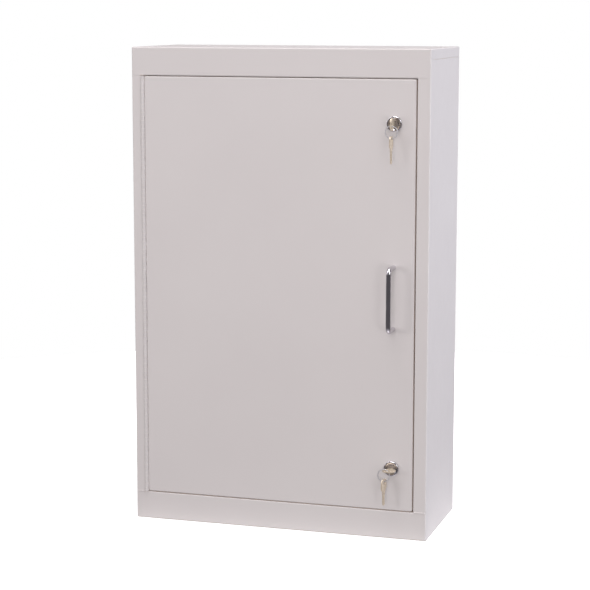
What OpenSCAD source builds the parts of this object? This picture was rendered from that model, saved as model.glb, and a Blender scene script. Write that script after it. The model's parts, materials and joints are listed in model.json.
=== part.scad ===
// Lockable wall cabinet for medicines: a folded steel case with one inset door on a
// continuous hinge, two cam locks with their keys, a wire pull and three adjustable shelves.
// Millimetres. X runs to the right, Y to the back and Z up. The origin is the middle of the underside.

/* [Cabinet] */
// Overall width
width = 482.6; // [400:0.1:620]
// Overall height
height = 762; // [600:1:920]
// Overall depth
depth = 203.2; // [170:0.1:320]
// Thickness of the steel sheet
sheet = 1.2; // [0.9:0.1:1.5]
// Outer radius of the folds
fold_r = 2; // [1.8:0.1:2.6]
// Height of the header and of the bottom rail
rail_h = 44.45; // [36:0.05:60]
// Width of the front stile beside the hinge
hinge_stile = 14.5; // [12:0.1:20]
// Width of the front stile beside the locks
latch_stile = 20.6; // [16:0.1:28]
// Width of the flanges that join the sheets
flange = 16; // [12:0.5:18]
// Gap left along the seams between two sheets
seam = 0.4; // [0.2:0.1:0.8]
// Distance behind the front at which the flanges of the top begin
seam_start = 17; // [12:0.5:30]

/* [Wall holes] */
// Diameter of the four holes in the back
wall_hole_d = 7.9; // [5:0.1:10]
// Distance between the holes along the width
wall_pitch_x = 406.4; // [300:0.1:420]
// Distance between the holes along the height
wall_pitch_z = 635; // [400:1:660]

/* [Door] */
// Gap between the door's free edge and the frame
door_gap = 1.6; // [1.2:0.1:3]
// Gap above and below the door
end_gap = 1; // [0.8:0.1:3]
// Depth of the folded edges of the door
door_depth = 19.05; // [16:0.05:24]
// Width of the lip folded in behind the door
door_lip = 12.7; // [8:0.1:16]
// Radius of the four corners of the door
door_corner_r = 3; // [2:0.5:8]
// Width of the flange that the door closes against
stop_w = 12.7; // [10:0.1:16]
// Space between the closed door and that flange
stop_gap = 3.15; // [2.5:0.05:6]
// Diameter of the rubber bumpers
bumper_d = 8; // [6:0.5:9]
// Width of the channel that stiffens the door
stiffener_w = 62; // [50:1:90]
// Depth of that channel
stiffener_d = 12; // [8:0.5:14]

/* [Hinge] */
// Diameter of the barrel
knuckle_d = 6.35; // [5.5:0.05:8]
// Nominal length of one knuckle
knuckle_len = 6.35; // [5:0.05:26]
// Thickness of the leaves
leaf_t = 1.2; // [1:0.1:1.4]
// Width of the leaves behind the front of the door
leaf_w = 18.5; // [12:0.5:22]
// Clearance beside and around the knuckles
hinge_gap = 0.25; // [0.2:0.05:0.6]
// Gap above and below the hinge
hinge_end_gap = 0.4; // [0.3:0.1:3]
// Radial clearance of the pin in the knuckles
pin_fit = 0.05; // [0.02:0.01:0.1]
// Distance of the pin's axis in front of the door
pin_proud = 0.6; // [0.4:0.1:2]

/* [Handle] */
// Distance between the feet of the handle
handle_pitch = 96; // [64:1:160]
// Diameter of its bar
handle_d = 8; // [6:0.5:12]
// Distance that it stands out from the door
handle_reach = 35; // [28:0.5:45]
// Radius of its bends, along the middle of the bar
handle_bend = 9; // [7:0.5:14]
// Diameter of its screws
handle_screw_d = 4; // [3:0.5:5]

/* [Locks] */
// Distance of the locks from the free edge of the door
lock_inset = 33.2; // [28:0.1:60]
// Distance of the locks from the ends of the door
lock_end = 67.6; // [50:0.1:140]
// Diameter of the bezel
bezel_d = 23.8; // [21:0.1:28]
// Height of the bezel
bezel_h = 5; // [4:0.5:7]
// Diameter of the threaded barrel
lock_d = 19; // [18:0.1:20]
// Width of the barrel across its two flats
lock_flat = 16; // [15.5:0.1:17.5]
// Diameter of the plug
plug_d = 12.7; // [12:0.1:13.5]
// Radial clearance of the plug
plug_fit = 0.05; // [0.02:0.01:0.1]
// Length of the cam from the axis to its tip
cam_len = 38.1; // [34:0.1:42]
// Thickness of the cam
cam_t = 2; // [1.5:0.1:3]
// Space between the cam and the flange that it locks behind
cam_gap = 1.2; // [0.8:0.1:3]

/* [Keys] */
// Thickness of the keys
key_t = 1.8; // [1.6:0.1:2.2]
// Width of the bow
bow_w = 20.5; // [16:0.5:22]
// Length of the bow
bow_l = 20; // [17:0.5:23]
// Length of the blade
blade_len = 18.5; // [16:0.5:21]
// Width of the blade
blade_w = 6.4; // [5.5:0.1:7]
// Clearance of the key in its keyway
key_fit = 0.3; // [0.2:0.05:0.4]
// Diameter of the hole in the bow
bow_hole_d = 6.4; // [6:0.1:7]
// Diameter of the key ring, along the middle of its wire
ring_d = 18.8; // [17:0.1:23]
// Diameter of the ring's wire
wire_d = 1.5; // [1.2:0.1:1.6]
// Clearance between the wire and the bow
ring_gap = 0.4; // [0.3:0.05:0.4]

/* [Shelves] */
// Distance of the shelves behind the front of the cabinet
shelf_front = 40; // [34:0.5:60]
// Height of the folded edges of a shelf
shelf_edge = 18; // [12:0.5:25]
// Width of the slotted standards
standard_w = 16; // [14:0.5:22]
// Depth of the standards
standard_d = 5; // [4.4:0.1:8]
// Distance between the slots
slot_pitch = 25.4; // [19:0.1:38.1]
// Length of the ledge of a shelf clip
clip_ledge = 12; // [9:0.5:16]

/* [Hidden] */

$fn = 48;
cut = 1;            // how far a cutter runs past the face it opens
bend_steps = 6;     // flats along a quarter turn of a fold

paint = [0.80, 0.78, 0.77];
steel = [0.62, 0.63, 0.65];
chrome = [0.85, 0.86, 0.88];
brass = [0.80, 0.70, 0.48];
rubber = [0.20, 0.20, 0.21];

// Faces of the cabinet
front = -depth / 2;
back = depth / 2;
half_w = width / 2;
lap = 3;            // how far one sheet runs on beneath another
joint = 0.1;        // hairline between the ends of the stiles and the rails
side = half_w - sheet;
rear_side = half_w - flange - seam;

// Hinge
knuckle_r = knuckle_d / 2;
bore_r = knuckle_r - leaf_t;
pin_r = bore_r - pin_fit;
leaf_out = knuckle_r + hinge_gap;
leaf_in = leaf_out - leaf_t;
hinge_x = -half_w + hinge_stile + leaf_out;
hinge_y = front - pin_proud;
hinge_z0 = rail_h + hinge_end_gap;
hinge_h = height - 2 * hinge_z0;
knuckles = 2 * floor(hinge_h / knuckle_len / 2) + 1;
knuckle_pitch = hinge_h / knuckles;

// Door
door_x0 = hinge_x + leaf_out;
door_x1 = half_w - latch_stile - door_gap;
door_z0 = rail_h + end_gap;
door_z1 = height - rail_h - end_gap;
door_h = door_z1 - door_z0;
door_mid_x = (door_x0 + door_x1) / 2;
door_mid_z = height / 2;
stop_y = front + door_depth + stop_gap;
hinge_relief = 7;   // how far the rails' stop flanges start from the hinge stile
stop_relief = 5;    // how far they end from that of the latch stile
relief_h = 3;       // how far the latter ends from the rails

// Bumpers
bumper_x = half_w - latch_stile - stop_w / 2;
bumper_inset = 26;
bumper_z = [door_z0 + bumper_inset, door_z1 - bumper_inset];
bumper_gap = 0.3;
bumper_stem_d = 4;
bumper_barb_d = 5.6;
bumper_barb_h = 1.8;
bumper_tip_d = 3;

// Locks, measured outwards from the front of the door
lock_x = door_x1 - lock_inset;
upper_lock_z = door_z1 - lock_end;
lower_lock_z = door_z0 + lock_end;
bezel_edge = 1.6;
plug_r = plug_d / 2;
plug_bore_r = plug_r + plug_fit;
plug_head_r = plug_r + 1;
plug_head_t = 1.2;
plug_head_gap = 0.3;
dish_rim = 0.6;
dish_r = bezel_d / 2 - bezel_edge - dish_rim;
dish_d = 1.4;
plug_face = bezel_h - dish_d;
cam_z = -(stop_y + sheet + cam_gap - front);
body_end = cam_z + plug_head_gap;
hole_fit = 0.15;
nut_t = 4;
nut_af = 25;
drive_w = 8;
drive_fit = 0.05;
cam_hub_r = 8.5;
cam_tip_r = 5.5;
cam_screw_d = 5;
cam_screw_len = 5;
screw_fit = 0.05;

// Handle
handle_z = handle_reach - handle_d / 2;
handle_screw_len = 9;
handle_hole_len = handle_screw_len + 1;

// Keys: the bow stands on a neck in front of the plug
neck_w = 8.5;
neck_len = 3.5;
neck_r = 3;
neck_edge = 0.4;
bow_top_w = 0.86 * bow_w;
bow_side = 0.75 * bow_l;
bow_side_r = 5;
bow_top_r = 6;
bow_hole_edge = 2.4;
key_tip = 2;
bits = [1.3, 0.7, 1.6, 1.0, 1.4];
bit_pitch = (blade_len - 2 * key_tip) / (len(bits) + 0.5);
groove_w = 1.2;
groove_d = 0.4;
key_face = plug_face + key_fit;
bow_end = key_face + neck_len + bow_l;
bow_hole_r = bow_hole_d / 2;
bow_hole_z = bow_end - bow_hole_edge - bow_hole_r;
wire_r = wire_d / 2;
ring_r = ring_d / 2;
// The wire lies this far from the middle of the hole where it goes square through the bow, and where
// it goes through at half a right angle: there its own bend takes up more of the hole
hang_square = bow_hole_r - wire_r - ring_gap;
hang_slant = bow_hole_r - key_t / 2 - wire_r / cos(45) - 2 * ring_gap;
spare_turn = -8;    // how far the lower spare key has turned about its length
// Middle of each ring, seen from the lock's axis: it hangs straight below an upright bow
// and down to the left of a level one
ring_upright = [0, -hang_square - ring_r];
ring_level = [-hang_slant - ring_r * cos(45), -ring_r * sin(45)];

// Shelves: one node each
shelf_count = 3;
standard_z0 = flange + lap + 2;
standard_z1 = height - standard_z0 - 2;
slots = floor((standard_z1 - standard_z0) / slot_pitch);
slot_w = 9;
slot_h = 3;
clip_w = 8;
clip_t = 2.4;
clip_hook = 1.8;
clip_hook_h = 6;
clip_prop_h = 9;
shelf_gap = 1.5;
shelf_hem = 10;
shelf_rear = back - 2 * sheet - shelf_gap;
standard_inset = 28;
standard_y = [front + shelf_front + standard_inset, shelf_rear - standard_inset];
web_x = side - standard_d;

function slot_z(i) = standard_z0 + slot_pitch * (i + 0.5);
function shelf_slot(j) = round((height * j / (shelf_count + 1) - standard_z0) / slot_pitch - 0.5);
// Height of the underside of shelf j, counted from the bottom
function shelf_z(j) = slot_z(shelf_slot(j)) + clip_t / 2;

// ---- Plane figures ----

function unit(v) = v / norm(v);
function left_of(v) = [-v.y, v.x];
function turned(v, a) = [v.x * cos(a) - v.y * sin(a), v.x * sin(a) + v.y * cos(a)];
function reversed(p) = [for (i = [len(p) - 1 : -1 : 0]) p[i]];

function arc(c, r, a0, a1) =
    [for (k = [0 : bend_steps]) c + turned([r, 0], a0 + (a1 - a0) * k / bend_steps)];

// The arc of radius r that rounds the corner p1, seen at a distance to the left of the line
function corner(p0, p1, p2, r, off = 0) =
    let (
        a = unit(p1 - p0),
        b = unit(p2 - p1),
        phi = atan2(cross(a, b), a * b),
        s = sign(phi),
        c = p1 - a * r * tan(abs(phi) / 2) + left_of(a) * s * r
    )
    [for (k = [0 : bend_steps]) c - turned(left_of(a), phi * k / bend_steps) * s * (r - s * off)];

// A closed line through corners [x, y, radius]
function softened(p) =
    let (n = len(p), at = [for (q = p) [q.x, q.y]])
    [for (i = [0 : n - 1]) each corner(at[(i + n - 1) % n], at[i], at[(i + 1) % n], p[i].z)];

// A rectangle between two corners, rounded at all four
function rounded(lo, hi, r) =
    softened([[lo.x, lo.y, r], [hi.x, lo.y, r], [hi.x, hi.y, r], [lo.x, hi.y, r]]);

// One side of a sheet folded along the middle line p, at a distance to the left of that line
function sheet_side(p, off) =
    let (n = len(p))
    concat(
        [p[0] + left_of(unit(p[1] - p[0])) * off],
        [for (i = [1 : n - 2]) each corner(p[i - 1], p[i], p[i + 1], fold_r - sheet / 2, off)],
        [p[n - 1] + left_of(unit(p[n - 1] - p[n - 2])) * off]
    );

// Section of a sheet folded along the middle line p
module folded(p) {
    polygon(concat(sheet_side(p, sheet / 2), reversed(sheet_side(p, -sheet / 2))));
}

// ---- Placing ----

// Draws in (y, z) and extrudes along x
module along_x(x0, x1) {
    translate([x0, 0, 0]) rotate([90, 0, 90]) linear_extrude(x1 - x0) children();
}

// Draws in (x, z) and extrudes along y
module along_y(y0, y1) {
    translate([0, y1, 0]) rotate([90, 0, 0]) linear_extrude(y1 - y0) children();
}

module along_z(z0, z1) {
    translate([0, 0, z0]) linear_extrude(z1 - z0) children();
}

module block(lo, hi) {
    translate(lo) cube(hi - lo);
}

// Draws on the door at height z: x to the right, y up, z out of its front
module on_door(z) {
    translate([lock_x, front, z]) rotate([90, 0, 0]) children();
}

// ---- Case ----

module both_sides() {
    children();
    mirror([1, 0, 0]) children();
}

// A box with all its edges rounded: corner_r round the edges along y, r round the others
module rounded_block(lo, hi, r, corner_r) {
    intersection() {
        along_z(lo.z, hi.z) polygon(rounded([lo.x, lo.y], [hi.x, hi.y], r));
        along_x(lo.x, hi.x) polygon(rounded([lo.y, lo.z], [hi.y, hi.z], r));
        along_y(lo.y, hi.y) polygon(rounded([lo.x, lo.z], [hi.x, hi.z], corner_r));
    }
}

// The same box as a shell of one sheet
module rounded_shell(lo, hi, corner_r) {
    wall = [sheet, sheet, sheet];
    difference() {
        rounded_block(lo, hi, fold_r, corner_r);
        rounded_block(lo + wall, hi - wall, fold_r - sheet, corner_r - sheet);
    }
}

module case_shell() {
    rounded_shell([-half_w, front, 0], [half_w, back, height], fold_r);
}

// Cuts the case shell across its width from one depth and height to another
module across(y0, z0, y1, z1) {
    block([-half_w - cut, y0, z0], [half_w + cut, y1, z1]);
}

// Removes the face of a rail where it folds back along the opening's edge
module opening_edge(z0) {
    block([-half_w + hinge_stile, front - cut, z0], [half_w - latch_stile, front + fold_r, z0 + fold_r]);
}

// Folds of a rail whose edge lies at height z: a lip that also covers the ends of the jambs,
// and a flange for the door to close against, with a relief at both of its ends
module rail_lip(z, up) {
    lip_z = z - up * sheet / 2;
    face_y = front + sheet / 2;
    rear_y = stop_y + sheet / 2;
    x0 = -half_w + hinge_stile;
    x1 = half_w - latch_stile;
    face = [[face_y, z - up * rail_h / 2], [face_y, lip_z]];
    along_x(x0 + hinge_relief, x1 - stop_w - stop_relief)
        folded(concat(face, [[rear_y, lip_z], [rear_y, z + up * stop_w]]));
    along_x(x0 - sheet, x1 + sheet) folded(concat(face, [[stop_y + sheet, lip_z]]));
}

module top_pan() {
    face_z = height - rail_h;
    color(paint) {
        difference() {
            case_shell();
            across(front - cut, -cut, front + fold_r, face_z);
            across(front + fold_r, -cut, back + cut, height - flange);
            opening_edge(face_z);
            both_sides()
                block([side, front + fold_r, face_z], [half_w + cut, front + seam_start, height - fold_r]);
        }
        rail_lip(face_z, -1);
    }
}

module bottom_pan() {
    color(paint) {
        difference() {
            case_shell();
            across(front - cut, rail_h, front + fold_r, height + cut);
            across(front + fold_r, flange, back + cut, height + cut);
            opening_edge(rail_h - fold_r);
            both_sides() {
                block([side, front + fold_r, -cut], [half_w + cut, back + cut, height]);
                block([rear_side, back - sheet, -cut], [half_w + cut, back + cut, height]);
            }
        }
        both_sides()
            block([side - sheet, front + fold_r + lap, sheet / 2], [side, back - 2 * sheet, flange]);
        rail_lip(rail_h, 1);
    }
}

// The right side, or the left one before it is mirrored
module side_panel(stile, jamb_end) {
    jamb_x = half_w - stile + sheet / 2;
    difference() {
        along_z(0, height - flange - seam) folded(concat(
            [
                [half_w - flange, back - sheet / 2],
                [half_w - sheet / 2, back - sheet / 2],
                [half_w - sheet / 2, front + sheet / 2],
                [jamb_x, front + sheet / 2]
            ],
            jamb_end
        ));
        // The jamb stops at the rails, and the face of the stile a hairline before them
        for (s = [0, 1]) translate([0, 0, s * height]) mirror([0, 0, s]) {
            block([0, front - cut, -cut], [half_w + cut, front + fold_r, rail_h + joint]);
            block([0, front, -cut], [side, stop_y + sheet + cut, rail_h]);
        }
    }
    // The upper edge runs on beneath the flange of the top, and up to its plate in front of that flange
    block(
        [side - sheet, front + seam_start - lap, height - flange - lap],
        [side, back - 2 * sheet, height - fold_r - seam]
    );
    block(
        [side, front + fold_r, height - flange - lap],
        [half_w, front + seam_start - seam, height - fold_r]
    );
}

module left_side_panel() {
    jamb_x = half_w - hinge_stile + sheet / 2;
    color(paint) mirror([1, 0, 0]) side_panel(hinge_stile, [[jamb_x, stop_y + sheet]]);
}

module right_side_panel() {
    jamb_x = half_w - latch_stile + sheet / 2;
    stop_x = half_w - latch_stile - stop_w;
    rear_y = stop_y + sheet / 2;
    color(paint) difference() {
        side_panel(latch_stile, [[jamb_x, rear_y], [stop_x, rear_y]]);
        // The stop flange ends a little before the rails
        for (s = [0, 1]) translate([0, 0, s * height]) mirror([0, 0, s]) block(
            [stop_x - cut, stop_y - cut, rail_h - cut],
            [half_w - latch_stile, stop_y + sheet + cut, rail_h + relief_h]
        );
        for (z = bumper_z)
            translate([bumper_x, stop_y - cut, z]) rotate([-90, 0, 0])
                cylinder(d = bumper_stem_d, h = sheet + 2 * cut);
    }
}

// The middle of the back lies flush with the flanges that its edge runs beneath
module back_panel() {
    edge_y = back - 2 * sheet;
    edge_x = half_w - fold_r;
    edge_z = fold_r + seam;
    rear_z = [flange + seam, height - flange - seam];
    color(paint) difference() {
        union() {
            block([-edge_x, edge_y, edge_z], [edge_x, back - sheet, height - edge_z]);
            block([-rear_side, edge_y, rear_z[0]], [rear_side, back, rear_z[1]]);
        }
        block(
            [sheet - rear_side, edge_y - cut, rear_z[0] + sheet],
            [rear_side - sheet, back - sheet, rear_z[1] - sheet]
        );
        for (x = [-1, 1], z = [-1, 1])
            translate([x * wall_pitch_x / 2, edge_y - cut, height / 2 + z * wall_pitch_z / 2])
                rotate([-90, 0, 0])
                    cylinder(d = wall_hole_d, h = 2 * sheet + 2 * cut);
    }
}

// ---- Shelves ----

// One slotted standard on the right side, its middle at depth y
module standard(y) {
    half = standard_w / 2;
    color(paint) difference() {
        block([web_x, y - half, standard_z0], [side, y + half, standard_z1]);
        block(
            [web_x + sheet, y - half + sheet, standard_z0 - cut],
            [side + cut, y + half - sheet, standard_z1 + cut]
        );
        for (i = [0 : slots - 1])
            translate([web_x - cut, y - slot_w / 2, slot_z(i) - clip_t / 2])
                cube([sheet + 2 * cut, slot_w, slot_h]);
    }
}

module right_front_standard() standard(standard_y[0]);
module right_rear_standard() standard(standard_y[1]);
module left_front_standard() mirror([1, 0, 0]) standard(standard_y[0]);
module left_rear_standard() mirror([1, 0, 0]) standard(standard_y[1]);

// A clip on the right side: it hooks behind the standard's web and props the shelf's underside
module shelf_clip() {
    top = clip_t / 2;
    hook = -sheet - clip_hook;
    along_y(-clip_w / 2, clip_w / 2) polygon([
        [hook, top], [clip_ledge, top], [clip_ledge, 0], [0, -clip_prop_h],
        [0, -top], [-sheet, -top], [-sheet, -clip_hook_h], [hook, -clip_hook_h]
    ]);
}

module shelf_clips() {
    color(steel) both_sides()
        for (j = [1 : shelf_count], y = standard_y)
            translate([web_x, y, slot_z(shelf_slot(j))]) mirror([1, 0, 0]) shelf_clip();
}

module shelf(j) {
    y0 = front + shelf_front + sheet / 2;
    y1 = shelf_rear - sheet / 2;
    z = shelf_z(j) + sheet / 2;
    x = web_x - shelf_gap;
    color(paint) along_x(-x, x) folded([
        [y0 + shelf_hem, z - shelf_edge], [y0, z - shelf_edge], [y0, z], [y1, z], [y1, z - shelf_edge]
    ]);
}

module lower_shelf() shelf(1);
module middle_shelf() shelf(2);
module upper_shelf() shelf(3);

// ---- Door ----

module door_panel() {
    rear_y = front + door_depth;
    color(paint) difference() {
        rounded_shell([door_x0, front, door_z0], [door_x1, rear_y, door_z1], door_corner_r);
        block(
            [door_x0 + door_lip, rear_y - sheet - cut, door_z0 + door_lip],
            [door_x1 - door_lip, rear_y + cut, door_z1 - door_lip]
        );
        for (z = [lower_lock_z, upper_lock_z])
            on_door(z) translate([0, 0, -sheet - cut]) linear_extrude(sheet + 2 * cut) intersection() {
                circle(d = lock_d + 2 * hole_fit);
                square([lock_flat + 2 * hole_fit, 2 * lock_d], center = true);
            }
        for (s = [-1, 1])
            on_door(door_mid_z + s * handle_pitch / 2)
                translate([0, 0, -sheet - cut])
                    cylinder(d = handle_screw_d + 2 * hole_fit, h = sheet + 2 * cut);
    }
}

// A hat-shaped channel behind the middle of the door
module door_stiffener() {
    foot_y = front + 1.5 * sheet;
    web_y = front + sheet / 2 + stiffener_d;
    x = [-stiffener_w / 2, -stiffener_w / 4, stiffener_w / 4, stiffener_w / 2];
    line = [
        [x[0], foot_y], [x[1], foot_y], [x[1], web_y], [x[2], web_y], [x[2], foot_y], [x[3], foot_y]
    ];
    color(paint) translate([door_mid_x, 0, 0])
        along_z(door_z0 + fold_r + lap, door_z1 - fold_r - lap) folded(line);
}

module door_bumpers() {
    head_t = stop_gap - bumper_gap;
    color(rubber) for (z = bumper_z)
        translate([bumper_x, stop_y, z]) rotate([-90, 0, 0]) {
            translate([0, 0, -head_t]) cylinder(d = bumper_d, h = head_t);
            cylinder(d = bumper_stem_d, h = sheet);
            translate([0, 0, sheet]) cylinder(d1 = bumper_barb_d, d2 = bumper_tip_d, h = bumper_barb_h);
        }
}

// ---- Hinge ----

// A leaf on the door's side of the pin. It holds every second knuckle, beginning with number `first`.
module hinge_leaf(first) {
    leaf_y0 = sqrt(leaf_out ^ 2 - leaf_in ^ 2);
    leaf_y1 = leaf_w + pin_proud;
    color(steel) translate([hinge_x, hinge_y, hinge_z0]) {
        block([leaf_in, leaf_y0, 0], [leaf_out, leaf_y1, hinge_h]);
        for (i = [first : 2 : knuckles - 1])
            translate([0, 0, i * knuckle_pitch + hinge_gap / 2])
                linear_extrude(knuckle_pitch - hinge_gap) difference() {
                    union() {
                        circle(r = knuckle_r);
                        translate([leaf_in, 0]) square([leaf_t, leaf_out]);
                    }
                    circle(r = bore_r);
                }
    }
}

module hinge_door_leaf() hinge_leaf(1);

module hinge_frame_leaf() {
    translate([2 * hinge_x, 0, 0]) mirror([1, 0, 0]) hinge_leaf(0);
}

module hinge_pin() {
    color(steel) translate([hinge_x, hinge_y, hinge_z0]) cylinder(r = pin_r, h = hinge_h);
}

// ---- Handle ----

module pull_handle() {
    foot = handle_pitch / 2;
    color(chrome) on_door(door_mid_z) for (s = [0, 1]) mirror([0, s, 0]) {
        difference() {
            translate([0, foot, 0]) cylinder(d = handle_d, h = handle_z - handle_bend);
            translate([0, foot, -cut]) cylinder(d = handle_screw_d, h = handle_hole_len + cut);
        }
        translate([0, foot - handle_bend, handle_z - handle_bend])
            rotate([90, 0, 90])
                rotate_extrude(angle = 90)
                    translate([handle_bend, 0]) circle(d = handle_d);
        translate([0, 0, handle_z]) rotate([-90, 0, 0]) cylinder(d = handle_d, h = foot - handle_bend);
    }
}

// A screw for a hole of diameter d: the shank reaches up from a flat head
module screw(d, len) {
    head_t = 0.55 * d;
    translate([0, 0, -head_t]) cylinder(d = 1.9 * d, h = head_t);
    cylinder(d = d - 2 * screw_fit, h = len);
}

module handle_screws() {
    color(steel) for (s = [-1, 1])
        on_door(door_mid_z + s * handle_pitch / 2)
            translate([0, 0, -sheet]) screw(handle_screw_d, sheet + handle_screw_len);
}

// ---- Locks ----

// Threaded body with a dished bezel; the barrel has two flats
module lock_body() {
    rim_r = bezel_d / 2;
    seat_z = plug_face - plug_head_t - plug_head_gap;
    color(chrome) difference() {
        union() {
            rotate_extrude() polygon(concat(
                [[0, 0], [rim_r, 0]],
                arc([rim_r - bezel_edge, bezel_h - bezel_edge], bezel_edge, 0, 90),
                [[0, bezel_h]]
            ));
            translate([0, 0, body_end]) intersection() {
                cylinder(d = lock_d, h = -body_end);
                translate([-lock_flat / 2, -lock_d, 0]) cube([lock_flat, 2 * lock_d, -body_end]);
            }
        }
        translate([0, 0, body_end - cut]) cylinder(r = plug_bore_r, h = bezel_h - body_end + 2 * cut);
        translate([0, 0, seat_z]) cylinder(r = plug_head_r + 2 * plug_fit, h = bezel_h);
        translate([0, 0, plug_face]) cylinder(r1 = dish_r - dish_d, r2 = dish_r, h = dish_d);
    }
}

module lock_nut() {
    color(steel) translate([0, 0, -sheet - nut_t]) difference() {
        cylinder(d = nut_af / cos(30), h = nut_t, $fn = 6);
        translate([0, 0, -cut]) cylinder(d = lock_d + 2 * screw_fit, h = nut_t + 2 * cut);
    }
}

// The plug as it stands with its keyway upright
module lock_plug() {
    keyway = [key_t + 2 * key_fit, blade_w + 2 * key_fit, blade_len + cut];
    drive_end = cam_z - cam_t + hole_fit;
    color(chrome) difference() {
        union() {
            translate([0, 0, cam_z]) cylinder(r = plug_r, h = plug_face - cam_z);
            translate([0, 0, plug_face - plug_head_t]) cylinder(r = plug_head_r, h = plug_head_t);
            block([-drive_w / 2, -drive_w / 2, drive_end], [drive_w / 2, drive_w / 2, cam_z + cut]);
        }
        translate([-keyway.x / 2, -keyway.y / 2, plug_face - blade_len]) cube(keyway);
        translate([0, 0, drive_end - cut]) cylinder(d = cam_screw_d, h = cam_screw_len + 2 * cut);
    }
}

// The cam reaches up from the axis
module lock_cam() {
    reach = cam_len - cam_tip_r;
    slope = acos((cam_hub_r - cam_tip_r) / reach);
    edge = [sin(slope), cos(slope)];
    color(steel) translate([0, 0, cam_z - cam_t]) linear_extrude(cam_t) difference() {
        union() {
            circle(r = cam_hub_r);
            translate([0, reach]) circle(r = cam_tip_r);
            polygon([
                edge * cam_hub_r, [0, reach] + edge * cam_tip_r,
                [-edge.x, edge.y] * cam_tip_r + [0, reach], [-edge.x, edge.y] * cam_hub_r
            ]);
        }
        square(drive_w + 2 * drive_fit, center = true);
    }
}

module cam_screw() {
    color(steel) translate([0, 0, cam_z - cam_t]) screw(cam_screw_d, cam_screw_len);
}

// ---- Keys ----

// A key in its lock, with its bow upright
module key() {
    half_blade = blade_w / 2;
    tip_z = key_face - blade_len;
    bow = [
        [neck_w / 2, key_face, neck_edge],
        [neck_w / 2, key_face + neck_len, neck_r],
        [bow_w / 2, bow_end - bow_side, bow_side_r],
        [bow_top_w / 2, bow_end, bow_top_r]
    ];
    color(brass) difference() {
        along_x(-key_t / 2, key_t / 2) difference() {
            union() {
                polygon(softened(concat(bow, [for (p = reversed(bow)) [-p.x, p.y, p.z]])));
                polygon([
                    [-half_blade, key_face + cut], [-half_blade, tip_z + 2 * key_tip],
                    [key_tip - half_blade, tip_z], [half_blade - key_tip, tip_z],
                    [half_blade, tip_z + key_tip], [half_blade, key_face + cut]
                ]);
            }
            translate([0, bow_hole_z]) circle(r = bow_hole_r);
            for (i = [0 : len(bits) - 1])
                translate([half_blade - bits[i], key_face - bit_pitch * (i + 1)])
                    polygon([[0, 0], [bits[i] + cut, bits[i] + cut], [bits[i] + cut, -bits[i] - cut]]);
        }
        // A groove along both faces of the blade, to one side of its bits
        both_sides()
            block([key_t / 2 - groove_d, -groove_w, tip_z - cut], [key_t, 0, key_face - cut]);
    }
}

module key_ring(middle) {
    color(chrome) translate([middle.x, middle.y, bow_hole_z])
        rotate_extrude() translate([ring_r, 0]) circle(r = wire_r, $fn = 24);
}

// The second key hangs from the lowest point of the ring, turned about its length
module spare_key(middle, turn) {
    hole_y = middle.y - ring_r - hang_square;
    translate([middle.x, hole_y, bow_hole_z]) rotate([-90, turn, 0]) translate([0, 0, -bow_hole_z]) key();
}

// The upper key stands upright in its lock and the lower one lies level
module level() {
    rotate(-90) children();
}

module upper_lock_body() on_door(upper_lock_z) lock_body();
module lower_lock_body() on_door(lower_lock_z) lock_body();
module upper_lock_nut() on_door(upper_lock_z) lock_nut();
module lower_lock_nut() on_door(lower_lock_z) lock_nut();
module upper_lock_plug() on_door(upper_lock_z) lock_plug();
module lower_lock_plug() on_door(lower_lock_z) level() lock_plug();
module upper_lock_cam() on_door(upper_lock_z) lock_cam();
module lower_lock_cam() on_door(lower_lock_z) rotate(180) lock_cam();
module upper_cam_screw() on_door(upper_lock_z) cam_screw();
module lower_cam_screw() on_door(lower_lock_z) cam_screw();
module upper_key() on_door(upper_lock_z) key();
module lower_key() on_door(lower_lock_z) level() key();
module upper_key_ring() on_door(upper_lock_z) key_ring(ring_upright);
module lower_key_ring() on_door(lower_lock_z) key_ring(ring_level);
module upper_spare_key() on_door(upper_lock_z) spare_key(ring_upright, 0);
module lower_spare_key() on_door(lower_lock_z) spare_key(ring_level, spare_turn);

top_pan();
bottom_pan();
left_side_panel();
right_side_panel();
back_panel();
left_front_standard();
left_rear_standard();
right_front_standard();
right_rear_standard();
upper_shelf();
middle_shelf();
lower_shelf();
shelf_clips();
door_bumpers();
hinge_frame_leaf();
hinge_pin();
hinge_door_leaf();
door_panel();
door_stiffener();
pull_handle();
handle_screws();
upper_lock_body();
lower_lock_body();
upper_lock_nut();
lower_lock_nut();
upper_lock_plug();
lower_lock_plug();
upper_lock_cam();
lower_lock_cam();
upper_cam_screw();
lower_cam_screw();
upper_key();
lower_key();
upper_key_ring();
lower_key_ring();
upper_spare_key();
lower_spare_key();
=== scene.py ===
"""The medicine cabinet's finishes, its fine details, and the camera and studio that show it.

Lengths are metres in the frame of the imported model: x to the right, y to the back, z up.
"""

import json
import math

import bmesh
import bpy
from mathutils import Matrix, Vector

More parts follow.
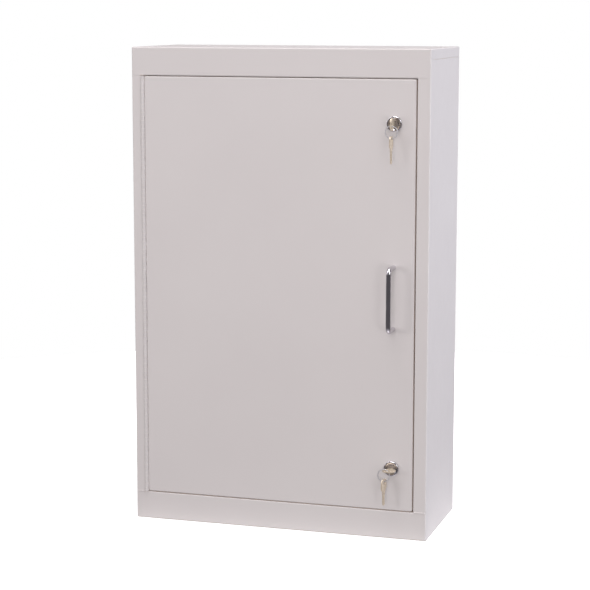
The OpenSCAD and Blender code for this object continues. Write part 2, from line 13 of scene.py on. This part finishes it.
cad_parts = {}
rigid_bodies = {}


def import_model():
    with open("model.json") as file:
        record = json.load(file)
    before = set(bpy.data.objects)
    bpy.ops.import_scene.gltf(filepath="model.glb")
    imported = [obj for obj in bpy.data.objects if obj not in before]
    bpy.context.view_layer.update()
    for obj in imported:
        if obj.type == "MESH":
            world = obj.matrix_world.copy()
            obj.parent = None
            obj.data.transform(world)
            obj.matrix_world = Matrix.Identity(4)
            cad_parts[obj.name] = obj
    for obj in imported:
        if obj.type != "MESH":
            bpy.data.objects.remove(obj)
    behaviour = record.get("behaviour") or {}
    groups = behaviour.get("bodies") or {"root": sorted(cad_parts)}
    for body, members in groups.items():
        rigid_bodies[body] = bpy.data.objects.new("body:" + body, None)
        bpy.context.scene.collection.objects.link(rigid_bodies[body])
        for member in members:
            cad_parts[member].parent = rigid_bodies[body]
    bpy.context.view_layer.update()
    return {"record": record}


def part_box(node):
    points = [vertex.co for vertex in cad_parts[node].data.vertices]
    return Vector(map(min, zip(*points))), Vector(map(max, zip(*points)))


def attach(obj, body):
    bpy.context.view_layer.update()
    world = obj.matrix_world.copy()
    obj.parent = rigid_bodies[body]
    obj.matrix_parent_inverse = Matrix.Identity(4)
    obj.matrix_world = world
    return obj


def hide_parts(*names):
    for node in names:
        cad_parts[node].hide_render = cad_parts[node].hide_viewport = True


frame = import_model()

MM = 0.001
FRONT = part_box("door_panel")[0].y
SHEET = 1.2 * MM
FOLD_R = 2.0 * MM         # outside of the folds
THREAD_PITCH = 1.0 * MM   # of the lock barrels
BARREL_R = 9.55 * MM      # bore of the nuts on them
END_GAP = 1.0 * MM        # between the door and the rails
CREASE = math.radians(35) # edges that turn by more than this stay crisp
SAMPLES = 4               # of each bevel and each occlusion node


# ---- Camera and studio ----

PICTURE_PX = 590          # the picture is square
SENSOR_MM = 36
CAMERA = {
    "place": (0.8574, -2.8216, 0.820),
    "focal_px": 1841.6,
    "yaw": math.radians(16.956),
    "pitch": math.radians(8.809),
    "roll": math.radians(0.064),
}


def make_camera():
    """The camera without lens shift, turned by its yaw, then its pitch, then its roll."""
    yaw, pitch, roll = CAMERA["yaw"], CAMERA["pitch"], CAMERA["roll"]
    ahead = math.cos(pitch)
    forward = Vector((-math.sin(yaw) * ahead, math.cos(yaw) * ahead, -math.sin(pitch)))
    level = Vector((math.cos(yaw), math.sin(yaw), 0))
    upright = level.cross(forward)
    right = level * math.cos(roll) + upright * math.sin(roll)
    up = upright * math.cos(roll) - level * math.sin(roll)
    data = bpy.data.cameras.new("camera")
    data.sensor_width = SENSOR_MM
    data.lens = CAMERA["focal_px"] / PICTURE_PX * data.sensor_width
    camera = bpy.data.objects.new("camera", data)
    turn = Matrix((right, up, -forward)).transposed().to_4x4()
    camera.matrix_world = Matrix.Translation(CAMERA["place"]) @ turn
    bpy.context.collection.objects.link(camera)
    bpy.context.scene.camera = camera


def add_light(name, place, target, energy, colour, size):
    """A round softbox at a place, aimed at a target."""
    data = bpy.data.lights.new(name, "AREA")
    data.shape = "DISK"
    data.size = size
    data.energy = energy
    data.color = colour
    light = bpy.data.objects.new(name, data)
    light.location = place
    light.rotation_mode = "QUATERNION"
    light.rotation_quaternion = (Vector(target) - Vector(place)).to_track_quat("-Z", "Y")
    bpy.context.collection.objects.link(light)
    return light


def add_glow(name, place, along_x, along_y, energy):
    """A strip on the floor that stands for the light which white paper throws up at the foot."""
    data = bpy.data.lights.new(name, "AREA")
    data.shape = "RECTANGLE"
    data.size = along_x
    data.size_y = along_y
    data.energy = energy
    data.color = (1, 0.985, 0.985)
    strip = bpy.data.objects.new(name, data)
    strip.location = place
    strip.rotation_euler.x = math.pi
    strip.visible_camera = False
    bpy.context.collection.objects.link(strip)
    return strip


def make_lights():
    """A broad light near the camera, softboxes round the cabinet and the glow of the floor."""
    middle = (0.1, FRONT, 0.38)
    low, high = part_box("bottom_pan")
    wide, deep = high.x - low.x, high.y - low.y
    front_strip, side_strip, strip_z = 0.025, 0.08, 1 * MM
    front_y, side_x = low.y - front_strip / 2, high.x + side_strip / 2
    lights = (
        add_light("front_light", (0.45, -2.30, 0.75), middle, 14, (1, 0.99, 0.995), 0.8),
        add_light("key_light", (1.40, -1.75, 0.34), middle, 4.7, (1, 0.985, 0.99), 0.6),
        add_light("fill_light", (-1.15, -1.75, 0.60), middle, 6.4, (1, 0.98, 0.98), 0.5),
        add_light("top_light", (0.1, -0.45, 2.0), (0.05, -0.1, 0.7), 8, (0.98, 0.98, 1.0), 0.7),
        add_light("side_light", (2.1, 0.34, 0.95), (0.24, 0, 0.45), 34, (0.86, 0.91, 1.0), 1.4),
        add_light("rear_light", (-1.3, 2.3, 1.0), (0, 0.1, 0.4), 22, (0.97, 0.98, 1.0), 1.0),
        add_glow("front_glow", (0, front_y, strip_z), wide, front_strip, 0.0165),
        add_glow("side_glow", (side_x, 0, strip_z), side_strip, deep, 0.038),
    )
    for light in lights:
        light.visible_glossy = False


def towards(azimuth, elevation):
    """The direction at degrees to the right of the door's front, and above the horizon."""
    around, up = math.radians(azimuth), math.radians(elevation)
    return (math.sin(around) * math.cos(up), -math.cos(around) * math.cos(up), math.sin(up))


# Softboxes that only mirrors see: azimuth, elevation, their radius in degrees, brightness
MIRRORED_BOXES = (
    (5, 78, 20, 6.0),
    (68, 28, 13, 4.0),
    (-62, 42, 11, 3.0),
    (-70, 18, 9, 2.0),
    (0, -80, 20, 0.9),
)
RIM = 1.3                 # outer radius of a softbox's soft rim, in its own radii

# Brightness of the room by the height of the direction, from 0 down to 1 up
ROOM_IN_MIRRORS = ((0.0, 0.6), (0.3, 0.12), (0.56, 0.10), (0.75, 0.22), (1.0, 0.4))
ROOM_AS_LIGHT = ((0.0, 0.30), (0.45, 0.36), (0.55, 0.44), (0.8, 0.62), (1.0, 1.5))


def make_world():
    """White to the camera, and a room with its own brightness for lighting and for mirrors."""
    world = bpy.data.worlds.new("studio")
    bpy.context.scene.world = world
    world.use_nodes = True
    nodes, links = world.node_tree.nodes, world.node_tree.links
    nodes.clear()
    out = nodes.new("ShaderNodeOutputWorld")
    path = nodes.new("ShaderNodeLightPath")
    place = nodes.new("ShaderNodeTexCoord").outputs["Generated"]
    split = nodes.new("ShaderNodeSeparateXYZ")
    links.new(place, split.inputs[0])
    height = nodes.new("ShaderNodeMapRange")
    height.inputs["From Min"].default_value = -1
    links.new(split.outputs["Z"], height.inputs["Value"])

    def by_height(tint, stops):
        """A colour whose brightness goes by the height of the direction, 0 down to 1 up."""
        ramp = nodes.new("ShaderNodeValToRGB")
        links.new(height.outputs["Result"], ramp.inputs[0])
        elements = ramp.color_ramp.elements
        while len(elements) < len(stops):
            elements.new(0.5)
        for element, (at, grey) in zip(elements, stops):
            element.position = at
            element.color = (*[grey * part for part in tint], 1)
        return ramp.outputs["Color"]

    def box(azimuth, elevation, radius, brightness):
        """A round light with a soft rim in one direction."""
        dot = nodes.new("ShaderNodeVectorMath")
        dot.operation = "DOT_PRODUCT"
        dot.inputs[1].default_value = towards(azimuth, elevation)
        links.new(place, dot.inputs[0])
        edge = nodes.new("ShaderNodeMapRange")
        edge.inputs["From Min"].default_value = math.cos(math.radians(radius * RIM))
        edge.inputs["From Max"].default_value = math.cos(math.radians(radius))
        edge.inputs["To Max"].default_value = brightness
        links.new(dot.outputs["Value"], edge.inputs["Value"])
        return edge.outputs["Result"]

    def background(colour):
        """A world shader of a colour."""
        node = nodes.new("ShaderNodeBackground")
        links.new(colour, node.inputs["Color"])
        return node.outputs[0]

    def choose(is_first, first, second):
        """The first shader for the rays that is_first names, and the second for the others."""
        node = nodes.new("ShaderNodeMixShader")
        links.new(path.outputs[is_first], node.inputs["Fac"])
        links.new(second, node.inputs[1])
        links.new(first, node.inputs[2])
        return node.outputs[0]

    mirrored = by_height((1, 0.95, 1.0), ROOM_IN_MIRRORS)
    for softbox in MIRRORED_BOXES:
        node = nodes.new("ShaderNodeVectorMath")
        links.new(mirrored, node.inputs[0])
        links.new(box(*softbox), node.inputs[1])
        mirrored = node.outputs[0]
    lighting = by_height((1, 0.985, 0.985), ROOM_AS_LIGHT)
    seen = nodes.new("ShaderNodeBackground")
    seen.inputs["Color"].default_value = (1, 1, 1, 1)
    room = choose("Is Glossy Ray", background(mirrored), background(lighting))
    links.new(choose("Is Camera Ray", seen.outputs[0], room), out.inputs["Surface"])


def make_floor():
    """White paper that the studio's lights don't bounce off again."""
    paper_r, drop = 1.5, 0.2 * MM
    mesh = bpy.data.meshes.new("floor")
    bm = bmesh.new()
    bmesh.ops.create_circle(bm, cap_ends=True, segments=96, radius=paper_r)
    bm.to_mesh(mesh)
    bm.free()
    floor = bpy.data.objects.new("floor", mesh)
    floor.location.z = -drop
    bpy.context.collection.objects.link(floor)
    paper = Surface("floor_paper")
    paper.set(base=(0.93, 0.925, 0.925), roughness=0.9)
    paper.shader.inputs["Emission Color"].default_value = (1, 1, 1, 1)
    paper.shader.inputs["Emission Strength"].default_value = 0.45
    paper.bump(paper.noise(400, detail=2), 0.02, 0.1 * MM)
    mesh.materials.append(paper.material)
    floor.visible_diffuse = False
    floor.visible_glossy = False


# ---- Materials ----

class Surface:
    """A procedural material: a Principled shader and the few textures that these finishes need."""

    def __init__(self, name):
        self.material = bpy.data.materials.new(name)
        self.material.use_nodes = True
        self.nodes = self.material.node_tree.nodes
        self.links = self.material.node_tree.links
        self.shader = self.nodes["Principled BSDF"]
        self.place = self.nodes.new("ShaderNodeTexCoord").outputs["Object"]

    def set(self, base=None, roughness=None, metallic=None, specular=None):
        """Values that are the same all over the surface."""
        values = {"Roughness": roughness, "Metallic": metallic, "Specular IOR Level": specular}
        for socket, value in values.items():
            if value is not None:
                self.shader.inputs[socket].default_value = value
        if base is not None:
            self.shader.inputs["Base Color"].default_value = (*base, 1)

    def noise(self, scale, detail=3, stretch=(1, 1, 1)):
        """Noise between 0 and 1 with features of about 1/scale metres."""
        mapping = self.nodes.new("ShaderNodeMapping")
        mapping.inputs["Scale"].default_value = stretch
        self.links.new(self.place, mapping.inputs["Vector"])
        noise = self.nodes.new("ShaderNodeTexNoise")
        noise.inputs["Scale"].default_value = scale
        noise.inputs["Detail"].default_value = detail
        self.links.new(mapping.outputs[0], noise.inputs["Vector"])
        return noise.outputs["Fac"]

    def spread(self, fac, low, high, start=0.3, end=0.7):
        """Maps a texture from start..end to low..high."""
        node = self.nodes.new("ShaderNodeMapRange")
        limits = {"From Min": start, "From Max": end, "To Min": low, "To Max": high}
        for socket, value in limits.items():
            node.inputs[socket].default_value = value
        self.links.new(fac, node.inputs["Value"])
        return node.outputs["Result"]

    def mix(self, fac, first, second):
        """A colour between two colours, or between a colour socket and a colour."""
        node = self.nodes.new("ShaderNodeMix")
        node.data_type = "RGBA"
        self.links.new(fac, node.inputs["Factor"])
        for socket, value in ((node.inputs[6], first), (node.inputs[7], second)):
            if isinstance(value, tuple):
                socket.default_value = (*value, 1)
            else:
                self.links.new(value, socket)
        return node.outputs[2]

    def rounded(self, radius):
        """The surface's normal with its sharp edges rounded by a radius."""
        bevel = self.nodes.new("ShaderNodeBevel")
        bevel.samples = SAMPLES
        bevel.inputs["Radius"].default_value = radius
        return bevel.outputs[0]

    def edges(self, radius):
        """1 within about a radius of a sharp edge, 0 elsewhere."""
        edge_cos, flat_cos = 0.80, 0.995     # between the rounded normal and the face's
        shape = self.nodes.new("ShaderNodeNewGeometry")
        dot = self.nodes.new("ShaderNodeVectorMath")
        dot.operation = "DOT_PRODUCT"
        self.links.new(self.rounded(radius), dot.inputs[0])
        self.links.new(shape.outputs["Normal"], dot.inputs[1])
        return self.spread(dot.outputs["Value"], 1, 0, edge_cos, flat_cos)

    def crevices(self, distance):
        """1 where faces closer than the distance shut a point in, 0 in the open."""
        shut, opened = 0.05, 0.40            # the part of a point's surroundings that is open
        node = self.nodes.new("ShaderNodeAmbientOcclusion")
        node.samples = SAMPLES
        node.inputs["Distance"].default_value = distance
        return self.spread(node.outputs["AO"], 1, 0, shut, opened)

    def bump(self, fac, strength, distance, edge_radius=None):
        """A texture's relief, and sharp edges drawn as if rounded by a radius."""
        node = self.nodes.new("ShaderNodeBump")
        node.inputs["Strength"].default_value = strength
        node.inputs["Distance"].default_value = distance
        self.links.new(fac, node.inputs["Height"])
        if edge_radius:
            self.links.new(self.rounded(edge_radius), node.inputs["Normal"])
        self.links.new(node.outputs[0], self.shader.inputs["Normal"])

    def colour(self, socket):
        """Takes the base colour from a socket."""
        self.links.new(socket, self.shader.inputs["Base Color"])

    def rough(self, socket):
        """Takes the roughness from a socket."""
        self.links.new(socket, self.shader.inputs["Roughness"])


def powder_coat():
    """Putty-grey powder coat: a fine orange peel, faint clouding and a painted highlight that
    lightens the edges.

    Deep in the gaps it is painted lighter and warmer, as painted light bounced between the sheets,
    which keeps the gaps round the door brown.
    """
    # colours of the painted highlight on the edges and of the painted bounce light deep in the
    # gaps
    edge_highlight, gap_bounce_light = (0.70, 0.665, 0.655), (0.88, 0.76, 0.66)
    paint = Surface("powder_coat")
    paint.set(specular=0.4)
    clouds = paint.spread(paint.noise(5, detail=4), 0, 1)
    base = paint.mix(clouds, (0.598, 0.556, 0.556), (0.616, 0.575, 0.574))
    # painted highlight: the colour turns lighter along sharp edges and folds
    edges = paint.spread(paint.edges(0.7 * MM), 0, 0.35, 0, 1)
    highlighted = paint.mix(edges, base, edge_highlight)
    # painted bounce light: occluded gaps get a lighter, warmer colour in place of light bounced
    # between the sheets
    paint.colour(paint.mix(paint.crevices(6 * MM), highlighted, gap_bounce_light))
    paint.rough(paint.spread(paint.noise(60), 0.40, 0.48))
    paint.bump(paint.noise(900, detail=2), 0.10, 0.12 * MM, edge_radius=0.5 * MM)
    return paint.material


def painted_hinge():
    """The same coat on the hinge, with a painted highlight on its edges and painted bounce light
    between the knuckles.
    """
    # colours of the painted highlight on the edges and of the painted bounce light between the
    # knuckles
    edge_highlight, gap_bounce_light = (0.73, 0.70, 0.69), (0.88, 0.80, 0.75)
    paint = Surface("painted_hinge")
    paint.set(specular=0.45)
    clouds = paint.spread(paint.noise(80), 0, 1)
    base = paint.mix(clouds, (0.600, 0.560, 0.560), (0.640, 0.604, 0.604))
    # painted highlight: the colour turns lighter along sharp edges
    edges = paint.spread(paint.edges(0.5 * MM), 0, 0.4, 0, 1)
    highlighted = paint.mix(edges, base, edge_highlight)
    # painted bounce light: the occluded grooves between the knuckles get a lighter, warmer colour
    paint.colour(paint.mix(paint.crevices(3 * MM), highlighted, gap_bounce_light))
    paint.rough(paint.spread(paint.noise(120), 0.33, 0.44))
    paint.bump(paint.noise(1200, detail=2), 0.15, 0.1 * MM, edge_radius=0.3 * MM)
    return paint.material


def chrome(name, tint, roughness, metallic=1.0):
    """Bright plating with faint handling haze."""
    plate = Surface(name)
    plate.set(metallic=metallic)
    haze = plate.spread(plate.noise(90, detail=4), 0, 1)
    hazed = tuple(part * 0.94 for part in tint)
    plate.colour(plate.mix(haze, tint, hazed))
    plate.rough(plate.spread(plate.noise(160), roughness, roughness + 0.06))
    plate.bump(plate.noise(700, detail=2), 0.04, 0.05 * MM, edge_radius=0.25 * MM)
    return plate.material


def brass(name, dark, light, roughness):
    """Pale brass, brushed along the key's length, with a painted highlight that lightens its sharp
    edges.
    """
    metal = Surface(name)
    metal.set(metallic=0.4)
    grain = metal.noise(350, stretch=(1, 0.15, 1))
    base = metal.mix(metal.spread(grain, 0, 1), dark, light)
    # painted highlight: the sharp edges are mixed towards a lighter brass
    edges = metal.spread(metal.edges(0.4 * MM), 0, 0.6, 0, 1)
    metal.colour(metal.mix(edges, base, (0.88, 0.80, 0.68)))
    metal.rough(metal.spread(grain, roughness, roughness + 0.15))
    metal.bump(grain, 0.2, 0.05 * MM, edge_radius=0.3 * MM)
    return metal.material


def zinc_plate():
    """Bright zinc on stamped steel, with a fine crystalline mottling."""
    metal = Surface("zinc_plate")
    metal.set(metallic=1.0)
    spangle = metal.noise(260, detail=5)
    base = metal.mix(metal.spread(spangle, 0, 1), (0.55, 0.57, 0.60), (0.68, 0.69, 0.70))
    # painted highlight: the sharp edges are mixed towards a lighter grey
    edges = metal.spread(metal.edges(0.4 * MM), 0, 0.5, 0, 1)
    metal.colour(metal.mix(edges, base, (0.80, 0.80, 0.80)))
    metal.rough(metal.spread(spangle, 0.28, 0.46))
    metal.bump(metal.noise(900), 0.15, 0.06 * MM, edge_radius=0.25 * MM)
    return metal.material


def grey_rubber():
    """Dark rubber with a little grime."""
    rubber = Surface("bumper_rubber")
    grime = rubber.spread(rubber.noise(300, detail=5), 0, 1)
    rubber.colour(rubber.mix(grime, (0.022, 0.022, 0.024), (0.045, 0.043, 0.042)))
    rubber.rough(rubber.spread(rubber.noise(500), 0.68, 0.85))
    rubber.bump(rubber.noise(1500), 0.3, 0.08 * MM)
    return rubber.material


def finish_nodes():
    """Gives every node of the model its finish, by the material slot that its record names."""
    finishes = {
        "painted_steel": powder_coat(),
        "hinge_paint": painted_hinge(),
        "zinc_steel": zinc_plate(),
        "handle_chrome": chrome("handle_chrome", (0.66, 0.64, 0.68), 0.05),
        "lock_chrome": chrome("lock_chrome", (0.68, 0.66, 0.69), 0.08),
        "key_brass": brass("key_brass", (0.58, 0.48, 0.37), (0.70, 0.60, 0.48), 0.34),
        "plug_chrome": chrome("plug_chrome", (0.55, 0.52, 0.54), 0.20),
        "ring_steel": chrome("ring_steel", (0.62, 0.60, 0.62), 0.35, metallic=0.5),
        "bumper_rubber": grey_rubber(),
    }
    for part in frame["record"]["subparts"]:
        for slot in bpy.data.objects[part["node"]].material_slots:
            slot.material = finishes[part["material_slot"]]
    return finishes


# ---- Fine details ----

def mesh_of(bm, name):
    """Makes a mesh of a closed form, with its normals outward."""
    bmesh.ops.recalc_face_normals(bm, faces=bm.faces)
    mesh = bpy.data.meshes.new(name)
    bm.to_mesh(mesh)
    bm.free()
    return mesh


def shade(mesh):
    """Smooth over curves and crisp at corners."""
    mesh.shade_smooth()
    mesh.set_sharp_from_angle(angle=CREASE)


def add_piece(name, bm, slot, body, replaces=None):
    """Makes a form a piece with a finish, on a body, beside the nodes or in the place of one."""
    mesh = mesh_of(bm, name)
    shade(mesh)
    mesh.materials.append(finishes[slot])
    piece = bpy.data.objects.new(name, mesh)
    bpy.context.collection.objects.link(piece)
    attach(piece, body)
    if replaces:
        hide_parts(replaces)
    return piece


def skin(bm, loops, closed=False):
    """Joins loops of as many points each by quads.

    A closed skin also joins the last loop to the first. An open one gets a cap at each end.
    """
    rows = [[bm.verts.new(point) for point in loop] for loop in loops]
    count = len(rows[0])
    following = rows[1:] + rows[:1] if closed else rows[1:]
    for first, second in zip(rows, following):
        for i in range(count):
            j = (i + 1) % count
            bm.faces.new((first[i], first[j], second[j], second[i]))
    if not closed:
        bm.faces.new(rows[0])
        bm.faces.new(rows[-1])


def circle(middle, radius, y, steps=32):
    """Points on a circle that faces along y.

    The radius may be a function of the angle, and y a function of the radius.
    """
    points = []
    for i in range(steps):
        a = 2 * math.pi * i / steps
        r = radius(a) if callable(radius) else radius
        at = y(r) if callable(y) else y
        points.append((middle.x + r * math.cos(a), at, middle.z + r * math.sin(a)))
    return points


def split_ring(name, node, body):
    """Two turns of wire side by side, with a short step from one to the other and two cut ends."""
    low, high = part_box(node)
    middle = (low + high) / 2
    wire = high.y - low.y
    radius = (high.x - low.x - wire) / 2
    step = 0.07                   # half the part of a turn in which the wire changes sides
    start = math.radians(150)     # the cut ends lie one on each side of this
    squareness = 0.6              # of the wire's section: 1 is round, less is squarer
    rows, sides = 150, 12
    loops = []
    for i in range(rows + 1):
        turn = step + (2 - 2 * step) * i / rows
        aside = max(-1, min(1, (turn - 1) / step)) * wire / 4
        angle = 2 * math.pi * turn + start
        outward = Vector((math.cos(angle), 0, math.sin(angle)))
        loop = []
        for j in range(sides):
            a = 2 * math.pi * j / sides
            out = 0.5 * wire * math.copysign(abs(math.cos(a)) ** squareness, math.cos(a))
            side = 0.25 * wire * math.copysign(abs(math.sin(a)) ** squareness, math.sin(a))
            loop.append(middle + outward * (radius + out) + Vector((0, aside + side, 0)))
        loops.append(loop)
    bm = bmesh.new()
    skin(bm, loops)
    add_piece(name, bm, "ring_steel", body, node)


def hex_nut(name, node, body):
    """A hexagon nut with the corners of both faces turned off."""
    low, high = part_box(node)
    middle = (low + high) / 2
    flat_r = (high.z - low.z) / 2
    face_r = 0.96 * flat_r
    slope = math.tan(math.radians(30))
    steps = 72

    def outline(a):
        return flat_r / math.cos(a % math.radians(60) - math.radians(30))

    loops = (
        circle(middle, BARREL_R, low.y, steps),
        circle(middle, face_r, low.y, steps),
        circle(middle, outline, lambda r: low.y + (r - face_r) * slope, steps),
        circle(middle, outline, lambda r: high.y - (r - face_r) * slope, steps),
        circle(middle, face_r, high.y, steps),
        circle(middle, BARREL_R, high.y, steps),
    )
    bm = bmesh.new()
    skin(bm, loops, closed=True)
    add_piece(name, bm, "zinc_steel", body, node)


def cut_out(piece, loops):
    """Cuts the solid that the loops span out of a piece."""
    bm = bmesh.new()
    skin(bm, loops)
    mesh = mesh_of(bm, "cutter")
    cutter = bpy.data.objects.new("cutter", mesh)
    bpy.context.collection.objects.link(cutter)
    modifier = piece.modifiers.new("cut", "BOOLEAN")
    modifier.operation = "DIFFERENCE"
    modifier.solver = "EXACT"
    modifier.object = cutter
    cut = piece.evaluated_get(bpy.context.evaluated_depsgraph_get())
    piece.data = bpy.data.meshes.new_from_object(cut)
    piece.modifiers.clear()
    shade(piece.data)
    bpy.data.objects.remove(cutter)
    bpy.data.meshes.remove(mesh)


def cut_recess(piece, middle, face_y, head_r, head_t):
    """Sinks a tapered cross into a screw's head."""
    reach, half_slot = 0.6, 0.14             # of the head's radius
    above, depth, taper = 0.1 * MM, 0.7 * head_t, 0.45
    for length, width in ((reach, half_slot), (half_slot, reach)):
        loops = []
        for y, part in ((face_y + above, 1.0), (face_y - depth, taper)):
            x, z = length * head_r * part, width * head_r * part
            corners = ((-x, -z), (x, -z), (x, z), (-x, z))
            loops.append([(middle.x + dx, y, middle.z + dz) for dx, dz in corners])
        cut_out(piece, loops)


def threaded_lock_body(name, node, nut):
    """The lock's housing with its thread, a helical groove from the nut to the barrel's end."""
    low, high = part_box(node)
    middle = (low + high) / 2
    start_y, end_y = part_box(nut)[1].y - THREAD_PITCH, high.y + THREAD_PITCH
    root_r, crest_r = BARREL_R - 0.5 * MM, BARREL_R + 0.3 * MM
    half = 0.45 * THREAD_PITCH    # half of the groove's width, at its open side
    steps = 40
    rows = round((end_y - start_y) / THREAD_PITCH * steps)
    loops = []
    for i in range(rows + 1):
        a = 2 * math.pi * i / steps
        y = start_y + THREAD_PITCH * i / steps
        section = ((root_r, y), (crest_r, y - half), (crest_r, y + half))
        across, up = math.cos(a), math.sin(a)
        loops.append([(middle.x + r * across, at, middle.z + r * up) for r, at in section])
    bm = bmesh.new()
    bm.from_mesh(bpy.data.objects[node].data)
    bmesh.ops.remove_doubles(bm, verts=bm.verts, dist=0.001 * MM)
    piece = add_piece(name, bm, "lock_chrome", "door", node)
    cut_out(piece, loops)


def pan_screws(name, node, body, count):
    """Pan-head screws with a cross recess, one above the other, whose heads face the back.

    A node's box gives the size of its screws: the heads make its width.
    """
    low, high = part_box(node)
    head_r = (high.x - low.x) / 2
    shank_d = head_r / 0.95       # a head is 1.9 times as wide as its shank
    head_t = 0.55 * shank_d
    base_y = high.y - head_t
    span = high.z - low.z - 2 * head_r
    middle_x = (low.x + high.x) / 2
    steps_up = [span * i / (count - 1) for i in range(count)] if count > 1 else [0]
    middles = [Vector((middle_x, 0, low.z + head_r + up)) for up in steps_up]
    tip_r, shank_r = 0.42 * shank_d, 0.48 * shank_d
    flat, domed = 0.62, 0.62      # the flat's share of the radius, and the dome's of the thickness
    profile = [(tip_r, low.y), (shank_r, low.y + 0.4 * MM), (shank_r, base_y), (head_r, base_y)]
    for degrees in range(0, 91, 15):
        a = math.radians(degrees)
        dome_r = head_r * (flat + (1 - flat) * math.cos(a))
        profile.append((dome_r, high.y - head_t * domed * (1 - math.sin(a))))
    bm = bmesh.new()
    for middle in middles:
        skin(bm, [circle(middle, r, y) for r, y in profile])
    piece = add_piece(name, bm, "zinc_steel", body, node)
    for middle in middles:
        cut_recess(piece, middle, high.y, head_r, head_t)


def spot_welds(name, body, places, y):
    """Shallow round marks, each a low rim round a flat, on a sheet that faces the back."""
    # Radius and height in millimetres, from below the sheet's face to the middle
    profile = ((2.7, -0.3), (2.7, 0.0), (2.45, 0.10), (2.1, 0.10), (1.8, 0.02), (0.3, 0.0))
    steps = 24
    bm = bmesh.new()
    for x, z in places:
        middle = Vector((x, 0, z))
        skin(bm, [circle(middle, r * MM, y + h * MM, steps) for r, h in profile])
    add_piece(name, bm, "painted_steel", body)


def paint_fillet(name, edge_x, way, ends, body):
    """The coat that gathers along a fold beside the knuckles, and makes its corner fuller.

    The fold's metal lies on the side of edge_x that way points to.
    """
    proud = 0.03 * MM
    corner_r = 0.35 * MM
    sunk = 0.6 * MM               # how far the fillet's back lies below the fold's surface
    front_end = FOLD_R - 0.15 * MM
    inner_r = FOLD_R - sunk
    profile = []
    for degrees in range(180, 271, 15):
        a = math.radians(degrees)
        across, behind = corner_r * (1 + math.cos(a)), corner_r * (1 + math.sin(a))
        profile.append((proud + across, proud + behind))
    profile.append((front_end, proud))
    for degrees in range(265, 184, -10):
        a = math.radians(degrees)
        profile.append((FOLD_R + inner_r * math.cos(a), FOLD_R + inner_r * math.sin(a)))
    loops = [
        [(edge_x + way * across, FRONT + behind, z) for across, behind in profile]
        for z in ends
    ]
    bm = bmesh.new()
    skin(bm, loops)
    add_piece(name, bm, "hinge_paint", body)


def paint_fillets():
    """One along the door's edge, and one along the stile's, on the other side of the knuckles."""
    door, door_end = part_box("door_panel")
    leaf, leaf_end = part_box("hinge_frame_leaf")
    pin, pin_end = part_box("hinge_pin")
    axis_x = (pin.x + pin_end.x) / 2
    paint_fillet("door_paint_fillet", door.x, 1, (door.z + FOLD_R, door_end.z - FOLD_R), "door")
    paint_fillet("stile_paint_fillet", 2 * axis_x - door.x, -1, (leaf.z, leaf_end.z), "cabinet")


def weld_bead(name, start_x, end_x, z):
    """A low bead across the joint between a stile and a rail, with a drop at both its ends."""
    rows, sides = 32, 12
    front_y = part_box("bottom_pan")[0].y
    height, half_width = 0.8 * MM, 0.9 * MM
    ripple, ripple_step = 0.10, 2.4          # its height, and its turn in radians from row to row
    drop, drop_row, drop_rows = 0.7, 2, 1.2  # its height, its row from the end and its half-length
    pointed = 0.3                            # size of the two ends
    loops = []
    for i in range(rows + 1):
        x = start_x + (end_x - start_x) * i / rows
        from_end = min(i, rows - i)
        swell = 1 + ripple * math.sin(ripple_step * i)
        swell += drop * math.exp(-((from_end - drop_row) / drop_rows) ** 2)
        if from_end == 0:
            swell *= pointed
        loops.append([
            (
                x,
                front_y - height * swell * math.cos(2 * math.pi * j / sides),
                z + half_width * swell * math.sin(2 * math.pi * j / sides),
            )
            for j in range(sides)
        ])
    bm = bmesh.new()
    skin(bm, loops)
    add_piece(name, bm, "painted_steel", "cabinet")


def make_details():
    """The pieces that stand in for plain nodes, and the welds and paint beside the nodes."""
    for side in ("upper", "lower"):
        split_ring(f"{side}_split_ring", f"{side}_key_ring", f"{side}_ring_body")
        hex_nut(f"{side}_chamfered_nut", f"{side}_lock_nut", "door")
        threaded_lock_body(f"{side}_threaded_lock_body", f"{side}_lock_body", f"{side}_lock_nut")
        pan_screws(f"{side}_cam_pan_screw", f"{side}_cam_screw", f"{side}_lock", 1)
    pan_screws("handle_pan_screws", "handle_screws", "door", 2)

    # Where the stiffener's flanges are welded to the door's face
    low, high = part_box("door_stiffener")
    inset = (high.x - low.x) / 8  # from the flanges' edges
    rows = 9
    places = [
        (x, low.z + (high.z - low.z) * (i + 0.5) / rows)
        for x in (low.x + inset, high.x - inset) for i in range(rows)
    ]
    spot_welds("stiffener_welds", "door", places, low.y + SHEET)

    paint_fillets()

    # Joints between the stiles and the rail below them
    rail_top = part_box("door_panel")[0].z - END_GAP
    low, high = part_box("bottom_pan")
    stile_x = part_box("hinge_frame_leaf")[0].x
    door_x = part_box("door_panel")[1].x
    # What the beads leave free beside the cabinet's corners, the hinge and the door
    corner, hinge, door = 1.5 * MM, 0.5 * MM, 3.0 * MM
    weld_bead("left_weld", low.x + corner, stile_x - hinge, rail_top)
    weld_bead("right_weld", door_x + door, high.x - corner, rail_top)


bpy.context.scene.view_settings.view_transform = "Standard"
make_camera()
make_lights()
make_world()
make_floor()
finishes = finish_nodes()
make_details()
